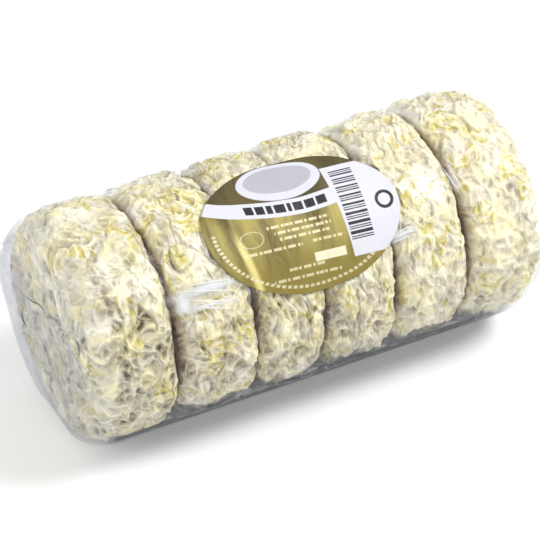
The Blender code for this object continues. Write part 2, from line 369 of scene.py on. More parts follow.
def tray_section(rim_angle, curve_steps, corner_steps):
    """Half of the trough's outline as Y and Z about the axis, from the foot's middle to the rim."""
    half_foot = FOOT_WIDTH / 2.0
    reach = math.hypot(half_foot, FOOT_DEPTH)
    meets = math.atan2(half_foot, FOOT_DEPTH) + math.acos(TRAY_RADIUS / reach)
    sweep = np.linspace(meets, rim_angle, curve_steps + 1)
    side = np.stack([TRAY_RADIUS * np.sin(sweep), -TRAY_RADIUS * np.cos(sweep)], axis=1)
    setback = FOOT_CORNER * math.tan(meets / 2.0)
    turn = np.linspace(0.0, meets, corner_steps)
    corner = np.stack([half_foot - setback + FOOT_CORNER * np.sin(turn),
                       -FOOT_DEPTH + FOOT_CORNER * (1.0 - np.cos(turn))], axis=1)
    foot = [(0.0, -FOOT_DEPTH), ((half_foot - setback) / 2.0, -FOOT_DEPTH)]
    return np.concatenate((foot, corner, side))


def tray_row(x, inset, rim_angle):
    half = tray_section(rim_angle, TRAY_CURVE_STEPS, TRAY_CORNER_STEPS) * (1.0 - inset / TRAY_RADIUS)
    section = np.concatenate((half[:0:-1] * (-1.0, 1.0), half))
    return np.column_stack([np.full(len(section), x), section])


def half_tray_rows():
    """Rings from the trough's middle to the top edge of its +X end wall."""
    straight = TRAY_LENGTH / 2.0 - TRAY_END_ROUNDING
    sweep_start = straight - RIM_SWEEP
    rows = []
    for x in (*np.linspace(0.0, sweep_start, TRAY_STRAIGHT_ROWS, endpoint=False),
              *np.linspace(sweep_start, straight, TRAY_SWEEP_ROWS, endpoint=False)):
        share = float(ease((x - sweep_start) / RIM_SWEEP))
        rim_angle = SIDE_RIM_ANGLE + share * (END_RIM_ANGLE - SIDE_RIM_ANGLE)
        rows.append(tray_row(x, 0.0, rim_angle))
    for turn in np.linspace(0.0, math.pi / 2.0, TRAY_ROUND_ROWS):
        x = straight + TRAY_END_ROUNDING * math.sin(turn)
        rows.append(tray_row(x, TRAY_END_ROUNDING * (1.0 - math.cos(turn)), END_RIM_ANGLE))
    lower = rows[-1]
    spread = (1.0 - np.cos(np.linspace(0.0, math.pi, len(lower)))) / 2.0
    upper = lower[0] + spread[:, None] * (lower[-1] - lower[0])
    for share in np.linspace(0.0, 1.0, TRAY_END_ROWS + 1)[1:]:
        rows.append(lower + share * (upper - lower))
    return rows


def flare(points):
    """Lean the tray's ends outwards, and raise it onto its foot."""
    height = points[:, 2] + FOOT_DEPTH
    leaning = points.copy()
    leaning[:, 0] *= 1.0 + TRAY_FLARE * height * 2.0 / TRAY_LENGTH
    leaning[:, 2] += AXIS_HEIGHT
    return leaning


def tray_inset(x):
    """How far the tray's rounded ends are drawn in towards the axis at X."""
    past = (np.abs(x) - TRAY_LENGTH / 2.0) / TRAY_END_ROUNDING + 1.0
    return TRAY_END_ROUNDING * (1.0 - np.sqrt(1.0 - np.clip(past, 0.0, 1.0) ** 2))


def make_tray(material):
    half = half_tray_rows()
    rows = [row * (-1.0, 1.0, 1.0) for row in half[:0:-1]] + half
    points = flare(np.concatenate(rows))
    quads = grid_quads(len(rows), len(rows[0]), closed=False)
    tray = add_piece("tray_shell", points, quads, None, material)
    work = bmesh.new()
    work.from_mesh(tray.data)
    bmesh.ops.remove_doubles(work, verts=work.verts, dist=1e-6)
    work.to_mesh(tray.data)
    work.free()
    tray.data.shade_smooth()
    tray.data.set_sharp_from_angle(angle=TRAY_SHARP_ANGLE)
    wall = tray.modifiers.new("Wall", "SOLIDIFY")
    wall.thickness = TRAY_WALL
    wall.offset = -1.0
    wall.use_even_offset = True
    return tray


# Cheeses

def end_of(index, side):
    """True if that face of a cheese is an end of the log. side is -1 or 1."""
    return index == (0 if side < 0 else len(CHEESE_THICKNESSES) - 1)


def cheese_half_outline(index, side):
    """From the middle of a face out to its rounded rim: offset, radius, normal and weights."""
    outer = end_of(index, side)
    rounding = END_ROUNDING if outer else JOINT_ROUNDING
    flat = CHEESE_RADIUS - rounding
    face_rows = int(flat / (FACE_STEP if outer else HIDDEN_STEP))
    face = np.linspace(FACE_STEP * 2.0, flat, face_rows, endpoint=False)
    round_rows = int(rounding * math.pi / 2.0 / CHEESE_STEP)
    turn = np.linspace(0.0, math.pi / 2.0, round_rows, endpoint=False)
    inward = np.concatenate((np.zeros(len(face)), rounding * (1.0 - np.cos(turn))))
    radius = np.concatenate((face, flat + rounding * np.sin(turn)))
    normal_x = np.concatenate((np.ones(len(face)), np.cos(turn)))
    normal_r = np.concatenate((np.zeros(len(face)), np.sin(turn)))
    if outer:
        weight = np.concatenate((np.full(len(face), FACE_RELIEF),
                                 FACE_RELIEF + (1.0 - FACE_RELIEF) * np.sin(turn)))
    else:
        weight = np.concatenate((np.zeros(len(face)), np.sin(turn)))
    return np.stack([inward, radius, normal_x, normal_r, weight], axis=1)


def cheese_outline(index):
    """Rows of X, radius, normal in X and radius, and share of relief, from -X to +X."""
    places = joint_places()
    start, end = places[index] + JOINT_GAP / 2.0, places[index + 1] - JOINT_GAP / 2.0
    low, high = cheese_half_outline(index, -1), cheese_half_outline(index, 1)
    low_round = END_ROUNDING if end_of(index, -1) else JOINT_ROUNDING
    high_round = END_ROUNDING if end_of(index, 1) else JOINT_ROUNDING
    count = int((end - start - low_round - high_round) / CHEESE_STEP)
    side_x = np.linspace(start + low_round, end - high_round, count)
    side = np.stack([side_x, np.full(count, CHEESE_RADIUS), np.zeros(count), np.ones(count),
                     np.ones(count)], axis=1)
    first, last = low * (1.0, 1.0, -1.0, 1.0, 1.0), high[::-1] * (-1.0, 1.0, 1.0, 1.0, 1.0)
    first[:, 0] += start
    last[:, 0] += end
    return np.concatenate((first, side, last))


def rind_relief(points, stretch):
    """Height of the rind over its even form, then how much of a crest, hollow or stain it is."""
    height = SWELL_HEIGHT * gradient_noise(points, SWELL_SIZE, WRINKLE_SEED)
    shift = np.stack([gradient_noise(points, WARP_SIZE, WRINKLE_SEED + 20 + axis)
                      for axis in range(3)], axis=-1) * WARP_REACH * 2.0
    ridges = []
    for step, (size, rise, share) in enumerate(WRINKLES):
        narrow = np.array((1.0 + (stretch - 1.0) * share, 1.0, 1.0))
        waves = gradient_noise((points + shift * share) * narrow, size, WRINKLE_SEED + 1 + step)
        ridge = 1.0 - 4.0 * np.abs(waves)
        ridges.append(ridge)
        height += rise * np.clip(ridge, -1.0, 1.0)
    crest = np.maximum(ramp(ridges[2], 0.55, 0.95), ramp(ridges[3], 0.5, 0.95) * 0.7)
    crest = np.maximum(crest, ramp(ridges[1], 0.75, 1.0) * 0.8)
    hollow = ramp(-0.55 * ridges[2] - 0.3 * ridges[3] - 0.25 * ridges[1], -0.15, 0.85)
    patchy = gradient_noise(points, STAIN_SIZE, WRINKLE_SEED + 40)
    broken = gradient_noise(points, STAIN_BREAK_SIZE, WRINKLE_SEED + 41)
    flank = ramp(ridges[2], -0.2, 0.25) * (1.0 - ramp(ridges[2], 0.6, 0.85))
    moss = flank * ramp(patchy + 0.7 * broken, 0.12, 0.26)
    return height - WRINKLE_SINK, crest, hollow, moss


def joint_opening(joint, angle):
    """How far the cheeses stand apart at the rim of a joint, round the log."""
    turn = np.degrees(angle)
    opening = np.zeros(angle.shape)
    for number, middle, half_width, width in JOINT_OPENINGS:
        if number == joint:
            away = np.abs((turn - middle + 180.0) % 360.0 - 180.0)
            opening += width * ramp(half_width - away, 0.0, half_width)
    return opening


def label_reach(x, angle):
    """1 at the label's edge and less inside it, on a surface rolled about the axis."""
    along, across = x - LABEL_X, (angle - LABEL_ANGLE) * LABEL_RADIUS
    cosine, sine = math.cos(LABEL_TURN), math.sin(LABEL_TURN)
    length = (along * cosine + across * sine) / (LABEL_LENGTH / 2.0)
    width = (across * cosine - along * sine) / (LABEL_WIDTH / 2.0)
    return np.hypot(length, width)


def press_into_tray(x, radius, angle):
    """Rest the cheeses on the tray's floor and wall, and flatten them where they meet it."""
    gap = TRAY_WALL + CONTACT_GAP
    end = TRAY_LENGTH / 2.0 - gap
    x = np.clip(x, -end, end)
    inset = tray_inset(x)
    radius = np.minimum(radius, TRAY_RADIUS - inset - gap)
    floor = FOOT_DEPTH * (1.0 - inset / TRAY_RADIUS) - gap
    down = -np.cos(angle)
    limit = np.where(down > 0.2, floor / np.maximum(down, 0.2), 1.0)
    return x, np.minimum(radius, limit)


def joint_parting(index, x, radius, turn):
    """How far a cheese's rims are drawn along X and inwards, and how deep in a joint they are."""
    places = joint_places()
    outward = ramp(radius, CHEESE_RADIUS - OPENING_DEPTH, CHEESE_RADIUS)
    inside = ramp(CHEESE_RADIUS - radius, *BROWN_AND_SHADE_DEPTHS)
    shift, sink, depth = (np.zeros(x.shape) for _ in range(3))
    for joint, sign in ((index, 1.0), (index + 1, -1.0)):
        if 0 < joint < len(CHEESE_THICKNESSES):
            away = np.abs(x - places[joint])
            opening = joint_opening(joint, turn) * outward * (1.0 - ramp(away, 0.0, OPENING_REACH))
            shift += sign * opening * OPENING_ALONG
            sink += opening * OPENING_INWARD
            depth = np.maximum(depth, inside * ramp(JOINT_ROUNDING - away, 0.0, BROWN_AND_SHADE_EDGE))
    return shift, sink, depth


def make_cheese(index, material):
    outline = cheese_outline(index)
    angle = np.linspace(-math.pi, math.pi, CHEESE_COLUMNS, endpoint=False)
    x, turn = np.meshgrid(outline[:, 0], angle, indexing="ij")
    radius = np.repeat(outline[:, 1:2], CHEESE_COLUMNS, axis=1)
    height, crest, hollow, moss = rind_relief(rolled(x, radius, turn), STRETCHES[index])
    height *= outline[:, 4:5]
    shift, sink, depth = joint_parting(index, x, radius, turn)
    moved_x = x + height * outline[:, 2:3] + shift
    moved_r = radius + height * outline[:, 3:4] - sink
    moved_r += SLUMP * ramp(-np.cos(turn), 0.55, 1.0) * ramp(radius, 0.02, CHEESE_RADIUS)
    cover = 1.0 - ramp(label_reach(moved_x, turn), 1.0, 1.1)
    moved_r += cover * np.minimum(LABEL_PRESS - moved_r, 0.0)
    moved_x, moved_r = press_into_tray(moved_x, moved_r, turn)
    points = rolled(moved_x, moved_r, turn).reshape(-1, 3)
    middles = rolled(moved_x[[0, -1]].mean(axis=1), np.zeros(2), np.zeros(2))
    quads, ends = capped_grid(len(outline), CHEESE_COLUMNS)
    cheese = add_piece(f"cheese_{index + 1}", np.concatenate((points, middles)), quads, ends, material)
    for name, values in (("crest", crest), ("hollow", hollow), ("moss", moss),
                         ("joint_depth", depth), ("pleat", np.full(x.shape, STRETCHES[index]))):
        store(cheese, name, np.append(values.ravel(), (0.0, 0.0)))
    return cheese


# Film

def film_core():
    """Rows of X, radius and normal of a plain form inside the film, from -X to +X."""
    half = FILM_CORE_LENGTH / 2.0
    flat = FILM_CORE_RADIUS - FILM_CORE_ROUNDING
    face = np.linspace(FILM_STEP, flat, int(flat / FILM_STEP), endpoint=False)
    arc = FILM_CORE_ROUNDING * math.pi / 2.0
    turn = np.linspace(0.0, math.pi / 2.0, int(arc / FILM_STEP * 1.3), endpoint=False)
    end_x = np.concatenate((np.full(len(face), -half),
                            -half + FILM_CORE_ROUNDING * (1.0 - np.cos(turn))))
    end_r = np.concatenate((face, flat + FILM_CORE_ROUNDING * np.sin(turn)))
    normal_x = np.concatenate((-np.ones(len(face)), -np.cos(turn)))
    normal_r = np.concatenate((np.zeros(len(face)), np.sin(turn)))
    end = np.stack([end_x, end_r, normal_x, normal_r], axis=1)
    straight = half - FILM_CORE_ROUNDING
    side_x = np.linspace(-straight, straight, int(straight * 2.0 / FILM_STEP))
    side = np.stack([side_x, np.full(len(side_x), FILM_CORE_RADIUS), np.zeros(len(side_x)),
                     np.ones(len(side_x))], axis=1)
    return np.concatenate((end, side, end[::-1] * (-1.0, 1.0, -1.0, 1.0)))


def heights_over(core, angle, trees):
    """How far the contents stand out of the film's core, along its normals."""
    found = np.zeros((len(core), len(angle)))
    for row, (x, radius, normal_x, normal_r) in enumerate(core):
        for column, turn in enumerate(angle):
            out = Vector((normal_x, -normal_r * math.sin(turn), normal_r * math.cos(turn)))
            place = Vector((x, -radius * math.sin(turn), AXIS_HEIGHT + radius * math.cos(turn)))
            best = 0.0
            for low, high, tree in trees:
                if low < x < high:
                    hit = tree.ray_cast(place + out * FILM_RAY, -out, FILM_RAY)
                    if hit[0] is not None:
                        best = max(best, FILM_RAY - hit[3])
            found[row, column] = best
    return found


def neighbours(values):
    """The four neighbours of each value in a grid whose columns close on themselves."""
    above = np.concatenate((values[:1], values[:-1]))
    below = np.concatenate((values[1:], values[-1:]))
    return np.stack([above, below, np.roll(values, 1, axis=1), np.roll(values, -1, axis=1)])


def draw_tight(contents):
    """Draw a film over the contents: it touches what stands out and spans what lies deep."""
    highest = np.maximum(contents, neighbours(contents).max(axis=0))
    cover = contents * (1.0 - FILM_SPAN) + highest * FILM_SPAN
    film = cover.copy()
    for _ in range(FILM_TENSION):
        film = np.maximum(cover, neighbours(film).mean(axis=0))
    return film


def painted_shine(core, angle):
    """Soft ovals of painted highlight over the film's straight stretch."""
    total = np.zeros((len(core), len(angle)))
    turn = np.degrees(angle)[None, :]
    for x, middle, long, wide in PAINTED_GLINTS:
        away = ((core[:, 0:1] / MM - x) / long) ** 2 + ((turn - middle) / wide) ** 2
        total = np.maximum(total, np.exp(-away) * (core[:, 3:4] > 0.9))
    return total


def end_tent(core, angle):
    """How far the film is tented out along -X from the log's -X end."""
    turn = np.degrees(angle)
    around = (ramp(turn, *TENT_FRONT) * (1.0 - TENT_BACK_SINK * ramp(turn, *TENT_BACK))
              * (1.0 - ramp(turn, *TENT_BELOW)))
    across = ramp(core[:, 1], *TENT_RING) * np.sqrt(np.maximum(-core[:, 2], 0.0))
    return FILM_TENT * across[:, None] * around[None, :]


def make_film(contents, material):
    core = film_core()
    angle = np.linspace(-math.pi, math.pi, FILM_COLUMNS, endpoint=False)
    graph = bpy.context.evaluated_depsgraph_get()
    trees = []
    for item in contents:
        xs = [corner[0] for corner in item.bound_box]
        trees.append((min(xs) - FILM_SEARCH, max(xs) + FILM_SEARCH, BVHTree.FromObject(item, graph)))
    standing = heights_over(core, angle, trees)
    film = draw_tight(standing)
    tent = end_tent(core, angle)
    gap = film - standing + tent * ramp(np.degrees(angle), *TENT_MIST)
    layers = []
    for lift in (FILM_LIFT, FILM_LIFT - FILM_WALL):
        out = film + lift
        x = core[:, 0:1] + out * core[:, 2:3] - tent
        radius = core[:, 1:2] + out * core[:, 3:4]
        points = rolled(x, radius, np.broadcast_to(angle, x.shape)).reshape(-1, 3)
        points[:, 2] = np.maximum(points[:, 2], (FILM_LIFT - FILM_WALL - lift) * 1.4)
        middles = rolled(x[[0, -1]].mean(axis=1), np.zeros(2), np.zeros(2))
        layers.append(np.concatenate((points, middles)))
    count = len(layers[0])
    quads, ends = capped_grid(len(core), FILM_COLUMNS)
    inner_quads, inner_ends = capped_grid(len(core), FILM_COLUMNS, start=count, flip=True)
    item = add_piece("film", np.concatenate(layers), np.concatenate((quads, inner_quads)),
                     np.concatenate((ends, inner_ends)), material)
    for name, values, middle in (("mist", ramp(gap, *FILM_MIST), FILM_MIDDLE_MIST),
                                 ("glint", painted_shine(core, angle), 0.0)):
        layer = np.append(values.ravel(), (middle, middle))
        store(item, name, np.concatenate((layer, layer)))
    return item, core, angle, film


# Label

def film_radius_at(x, turn, core, angle, film):
    """Radius of the drawn film over its straight stretch, read between its grid points."""
    rows = np.nonzero((core[:, 3] > 0.999) & (core[:, 1] > FILM_CORE_RADIUS - 1e-6))[0]
    row = np.interp(x, core[rows, 0], rows)
    column = (turn - angle[0]) / (angle[1] - angle[0]) % len(angle)
    low_row, low_column = np.floor(row).astype(int), np.floor(column).astype(int)
    high_row, high_column = low_row + 1, (low_column + 1) % len(angle)
    low_column %= len(angle)
    part_row, part_column = row - low_row, column - np.floor(column)
    low = film[low_row, low_column] * (1 - part_column) + film[low_row, high_column] * part_column
    high = film[high_row, low_column] * (1 - part_column) + film[high_row, high_column] * part_column
    return FILM_CORE_RADIUS + low * (1 - part_row) + high * part_row


def make_label(core, angle, film, material):
    smooth = film.copy()
    for _ in range(LABEL_TENSION):
        smooth = np.maximum(film, neighbours(smooth).mean(axis=0))
    share = np.linspace(0.0, 1.0, LABEL_RINGS + 1)[1:]
    turn = np.linspace(0.0, 2.0 * math.pi, LABEL_SIDES, endpoint=False)
    length = np.outer(share, np.cos(turn)) * LABEL_LENGTH / 2.0
    width = np.outer(share, np.sin(turn)) * LABEL_WIDTH / 2.0
    length, width = np.append(length.ravel(), 0.0), np.append(width.ravel(), 0.0)
    x = LABEL_X + length * math.cos(LABEL_TURN) - width * math.sin(LABEL_TURN)
    across = length * math.sin(LABEL_TURN) + width * math.cos(LABEL_TURN)
    around = LABEL_ANGLE + across / LABEL_RADIUS
    radius = film_radius_at(x, around, core, angle, smooth) + FILM_LIFT + LABEL_LIFT
    crumple = gradient_noise(rolled(x, np.full(x.shape, LABEL_RADIUS), around) * (1.0, 0.5, 0.5),
                             CRUMPLE_SIZE, WRINKLE_SEED + 60)
    radius += CRUMPLE_HEIGHT * np.clip(crumple, 0.0, 1.0)
    points = rolled(x, radius, around)
    quads = grid_quads(LABEL_RINGS, LABEL_SIDES)
    triangles = fan(LABEL_RINGS * LABEL_SIDES, np.arange(LABEL_SIDES))
    item = add_piece("label_sticker", points, quads, triangles, material)
    layer = item.data.uv_layers.new(name="print")
    corner = np.zeros(len(item.data.loops), dtype=np.int32)
    item.data.loops.foreach_get("vertex_index", corner)
    places = np.stack([length / LABEL_LENGTH + 0.5, 0.5 - width / LABEL_LENGTH], axis=1)[corner]
    layer.data.foreach_set("uv", places.astype(np.float32).ravel())
    wall = item.modifiers.new("Wall", "SOLIDIFY")
    wall.thickness = LABEL_WALL
    wall.offset = 1.0
    return item


# Node trees

def srgb(red, green, blue):
    """A screen colour of 0 to 255 as linear light."""
    def linear(value):
        value /= 255.0
        return value / 12.92 if value <= 0.04045 else ((value + 0.055) / 1.055) ** 2.4
    return (linear(red), linear(green), linear(blue), 1.0)


class Nodes:
    """Short ways to add nodes to one tree and to join them."""

    def __init__(self, tree):
        self.tree = tree

    def add(self, kind, inputs=None, **settings):
        node = self.tree.nodes.new(kind)
        for name, value in settings.items():
            setattr(node, name, value)
        self.fill(node, inputs or {})
        return node

    def fill(self, node, inputs):
        """Set or link some inputs of a node."""
        for name, value in inputs.items():
            self.put(node.inputs[name], value)

    def put(self, socket, value):
        if isinstance(value, bpy.types.NodeSocket):
            self.tree.links.new(value, socket)
        else:
            socket.default_value = value

    def math(self, operation, first, second=0.0, clamp=False):
        node = self.add("ShaderNodeMath", {0: first, 1: second}, operation=operation, use_clamp=clamp)
        return node.outputs[0]

    def plus(self, first, second, clamp=False):
        return self.math("ADD", first, second, clamp)

    def minus(self, first, second, clamp=False):
        return self.math("SUBTRACT", first, second, clamp)

    def times(self, first, second, clamp=False):
        return self.math("MULTIPLY", first, second, clamp)

    def most(self, first, second):
        return self.math("MAXIMUM", first, second)

    def rest(self, value, clamp=False):
        """What the value leaves of 1."""
        return self.minus(1.0, value, clamp)

    def far(self, value, middle):
        """Distance of the value from the middle."""
        return self.math("ABSOLUTE", self.minus(value, middle))

    def hypot(self, first, second):
        return self.math("SQRT", self.plus(self.times(first, first), self.times(second, second)))

    def sine(self, value, rate):
        return self.math("SINE", self.times(value, rate))

    def ramp(self, value, low, high):
        inputs = {"Value": value, "From Min": low, "From Max": high}
        return self.add("ShaderNodeMapRange", inputs, interpolation_type="SMOOTHSTEP").outputs[0]

    def noise(self, vector, scale, detail=2.0, rough=0.5, distortion=0.0):
        inputs = {"Vector": vector, "Scale": scale, "Detail": detail, "Roughness": rough,
                  "Distortion": distortion}
        return self.add("ShaderNodeTexNoise", inputs).outputs["Fac"]

    def mix(self, factor, first, second):
        """Blend two colours, each a socket or a screen colour."""
        node = self.add("ShaderNodeMix", {"Factor": factor}, data_type="RGBA")
        for place, colour in zip(MIX_COLOUR_INPUTS, (first, second)):
            self.put(node.inputs[place], srgb(*colour) if isinstance(colour, tuple) else colour)
        return node.outputs[MIX_COLOUR_OUTPUT]

    def bump(self, height, strength, distance):
        inputs = {"Height": height, "Strength": strength, "Distance": distance}
        return self.add("ShaderNodeBump", inputs).outputs["Normal"]

    def attribute(self, name):
        return self.add("ShaderNodeAttribute", attribute_name=name).outputs["Fac"]

    def place(self):
        return self.add("ShaderNodeTexCoord").outputs["Object"]

    def split(self, vector):
        return self.add("ShaderNodeSeparateXYZ", {0: vector}).outputs

    def join(self, x, y, z=0.0):
        return self.add("ShaderNodeCombineXYZ", {0: x, 1: y, 2: z}).outputs[0]


def new_material(name, kind=Nodes):
    material = bpy.data.materials.new(name)
    material.use_nodes = True
    return material, kind(material.node_tree), material.node_tree.nodes["Principled BSDF"]


def new_group(name, inputs, outputs):
    """A shader node group: its tree, its nodes, the sockets it is given and its output node."""
    group = bpy.data.node_groups.new(name, "ShaderNodeTree")
    for title, kind in inputs.items():
        group.interface.new_socket(name=title, in_out="INPUT", socket_type="NodeSocket" + kind)
    for title in outputs:
        group.interface.new_socket(name=title, in_out="OUTPUT", socket_type="NodeSocketFloat")
    nodes = Nodes(group)
    return group, nodes, nodes.add("NodeGroupInput").outputs, nodes.add("NodeGroupOutput")


def clear_gloss_group():
    """Alpha and metal share of a clear glossy skin: it mirrors at a glance, and mist veils it."""
    inputs = dict.fromkeys(("Facing", "Mist", "Mirror", "Edge"), "Float")
    group, nodes, given, made = new_group("clear_gloss", inputs, ("Alpha", "Metallic"))
    glance = nodes.math("POWER", given["Facing"], 5.0)
    mirror = nodes.plus(nodes.times(glance, given["Edge"]), given["Mirror"])
    left = nodes.times(nodes.rest(mirror), nodes.rest(given["Mist"]))
    alpha = nodes.rest(left, clamp=True)
    share = nodes.math("DIVIDE", mirror, nodes.most(alpha, 0.001), clamp=True)
    nodes.fill(made, {"Alpha": alpha, "Metallic": share})
    return group


def wear_gloss(nodes, shader, gloss, mist, mirror, edge):
    """Give a material the alpha and the metal share of the clear gloss."""
    facing = nodes.add("ShaderNodeLayerWeight", {"Blend": 0.5}).outputs["Facing"]
    inputs = {"Facing": facing, "Mist": mist, "Mirror": mirror, "Edge": edge}
    clear = nodes.add("ShaderNodeGroup", inputs, node_tree=gloss).outputs
    nodes.fill(shader, {"Alpha": clear["Alpha"], "Metallic": clear["Metallic"]})


def fold_lines_group():
    """Winding folds: their height, and how near a point is to a crest."""
    inputs = {"Vector": "Vector", "Scale": "Float", "Width": "Float"}
    group, nodes, given, made = new_group("fold_lines", inputs, ("Height", "Crest"))
    wave = nodes.noise(given["Vector"], given["Scale"], 1.0, 0.4, 0.7)
    away = nodes.far(wave, 0.5)
    height = nodes.rest(nodes.times(away, FOLD_STEEPNESS), clamp=True)
    nodes.fill(made, {"Height": height, "Crest": nodes.ramp(away, given["Width"], 0.0)})
    return group


# Materials of the cheeses, film, tray and hairs

def rind_shade(nodes, wide, thin, height, fresh, first):
    """How strong the painted shade in the hollows is: most on the first cheese, least on top of the
    fresh ones.
    """
    low = nodes.rest(nodes.most(wide["Height"], nodes.times(thin["Height"], 0.6)))
    shade = nodes.plus(nodes.times(nodes.attribute("hollow"), 0.6), nodes.times(low, 0.7))
    much = nodes.plus(nodes.minus(1.15, nodes.times(fresh, 0.3)), nodes.times(first, 0.35))
    calm = nodes.minus(0.5, nodes.times(fresh, 0.4))
    on_top = nodes.times(nodes.ramp(height, *RIND_TOP), calm)
    return nodes.times(nodes.times(shade, much, clamp=True), nodes.rest(on_top))


def rind_material():
    material, nodes, shader = new_material("rind")
    place = nodes.place()
    x, y, z = nodes.split(place)
    narrow = nodes.join(nodes.times(x, nodes.attribute("pleat")), y, z)
    folds = fold_lines_group()
    wide, thin = (nodes.add("ShaderNodeGroup", {"Vector": narrow, "Scale": scale, "Width": width},
                            node_tree=folds).outputs for scale, width in FOLD_LINES)
    blotch, grain = nodes.noise(place, 130.0, 3.0, 0.6), nodes.noise(place, 900.0, 3.0, 0.6)
    fresh, first = nodes.ramp(x, *FRESHER_FROM), nodes.ramp(x, *FIRST_CHEESE)
    body = nodes.mix(nodes.ramp(blotch, 0.35, 0.68), IVORY, CREAM)
    body = nodes.mix(nodes.times(fresh, 0.5), body, FRESH)
    # painted shade: the first cheese darker towards its lower part, short of its end face
    lower_shade = nodes.times(nodes.times(nodes.ramp(z, *LOWER_SHADE_HEIGHT), first), nodes.ramp(x, *LOWER_SHADE_END))
    body = nodes.mix(nodes.times(lower_shade, 0.8), body, LOWER_SHADE)
    deep = nodes.mix(first, HOLLOW_SHADE, FIRST_CHEESE_SHADE)
    # painted shade darkens the hollows of the folds
    body = nodes.mix(rind_shade(nodes, wide, thin, z, fresh, first), body, deep)
    tint = nodes.mix(nodes.noise(place, 300.0), STAIN, DARK_STAIN)
    stain = nodes.ramp(nodes.plus(nodes.attribute("moss"), nodes.times(grain, 0.2)), 0.35, 0.62)
    body = nodes.mix(nodes.times(stain, 0.9), body, tint)
    # pale lines along the crests of the folds, partly painted highlight
    lines = nodes.most(wide["Crest"], nodes.times(thin["Crest"], 0.35))
    lines = nodes.most(lines, nodes.times(nodes.attribute("crest"), 0.6))
    lit = nodes.mix(nodes.ramp(blotch, 0.4, 0.6), PALE_CREST_AND_HIGHLIGHT, WARM_CREST_AND_HIGHLIGHT)
    body = nodes.mix(lines, body, lit)
    # brown deep in the joints: partly the rind's own brown, partly painted shade
    body = nodes.mix(nodes.times(nodes.attribute("joint_depth"), 0.9), body, JOINT_BROWN_AND_SHADE)
    rise = nodes.plus(nodes.times(thin["Height"], 0.3), nodes.times(grain, 0.12))
    rise = nodes.times(nodes.plus(wide["Height"], rise), nodes.rest(nodes.times(fresh, 0.35)))
    nodes.fill(shader, {
        "Base Color": body,
        "Roughness": nodes.plus(0.5, nodes.times(grain, 0.25)),
        "Specular IOR Level": 0.35,
        "Subsurface Weight": 0.08,
        "Subsurface Radius": (1.0, 0.8, 0.5),
        "Subsurface Scale": 0.0006,
        "Normal": nodes.bump(rise, 1.0, 0.0015),
    })
    return material


def film_material(gloss):
    """Clear film: misty where it stands off the back and the -X end, with painted highlights as sparks
    in its glints.
    """
    material, nodes, shader = new_material("film")
    place = nodes.place()
    x, y, z = nodes.split(place)
    cloud = nodes.noise(place, 85.0, 4.0, 0.62)
    end = nodes.ramp(x, *MISTY_END)
    veil = nodes.times(nodes.attribute("mist"), nodes.ramp(cloud, 0.2, 0.7))
    behind = nodes.plus(0.04, nodes.times(nodes.ramp(y, *MISTY_BACK), 0.4))
    end_mist = nodes.times(end, nodes.times(nodes.ramp(cloud, 0.1, 0.8), 0.16))
    stretched = nodes.add("ShaderNodeMapping", {"Vector": place, "Scale": STREAK_SCALES})
    streaks = nodes.noise(stretched.outputs[0], 1.0)
    # painted highlight: white streaks in the glints, put into the mist
    painted_spark = nodes.times(nodes.attribute("glint"), nodes.ramp(streaks, 0.35, 0.62))
    mist = nodes.plus(nodes.plus(nodes.times(veil, behind), end_mist),
                      nodes.times(painted_spark, 0.75), clamp=True)
    above_foot = nodes.most(nodes.ramp(z, *FOOT_BAND), end)
    wear_gloss(nodes, shader, gloss, mist, nodes.times(above_foot, 0.008),
               nodes.plus(0.03, nodes.times(above_foot, 0.42)))
    ripple = nodes.noise(place, 260.0, 3.0, 0.55, 0.8)
    nodes.fill(shader, {
        "Base Color": nodes.mix(nodes.ramp(x, *GREYER_END), CLEAR_FILM, END_FILM),
        "Roughness": nodes.ramp(cloud, -0.6, 3.5),
        "Normal": nodes.bump(ripple, 0.35, 0.0006),
    })
    return material


def tray_material(gloss):
    """Clear plastic, with a painted shade: a dark wavy band along the foot that ends before the tray
    does.
    """
    material, nodes, shader = new_material("tray_plastic")
    place = nodes.place()
    x, _, z = nodes.split(place)
    wave = nodes.noise(place, 75.0, 3.0, 0.6)
    away = nodes.math("ABSOLUTE", x)
    top = nodes.plus(BAND_TOP, nodes.times(nodes.ramp(away, *BAND_HIGHER_FROM), BAND_RISE))
    top = nodes.plus(top, nodes.times(nodes.minus(wave, 0.5), BAND_WAVE))
    # painted shade: dark, nearly opaque plastic where shade falls under the cheeses
    painted_shade = nodes.rest(nodes.ramp(nodes.minus(z, top), -BAND_EDGE, BAND_EDGE))
    painted_shade = nodes.times(painted_shade, nodes.ramp(z, *BAND_LOWER_EDGE))
    painted_shade = nodes.times(painted_shade, nodes.ramp(away, *BAND_END))
    wear_gloss(nodes, shader, gloss, nodes.plus(0.015, nodes.times(painted_shade, 0.94)), 0.004,
               nodes.minus(0.35, nodes.times(painted_shade, 0.3)))
    nodes.fill(shader, {
        "Base Color": nodes.mix(painted_shade, CLEAR_TRAY, SHADE_BAND_DARK),
        "Roughness": 0.09,
        "Specular IOR Level": nodes.minus(0.5, nodes.times(painted_shade, 0.44)),
    })
    return material


def speckled_material(name, scale, first, second, **inputs):
    """A plain finish whose colour drifts between two tones."""
    material, nodes, shader = new_material(name)
    tone = nodes.noise(nodes.place(), scale)
    nodes.fill(shader, {"Base Color": nodes.mix(tone, first, second), **inputs})
    return material


# Label's print

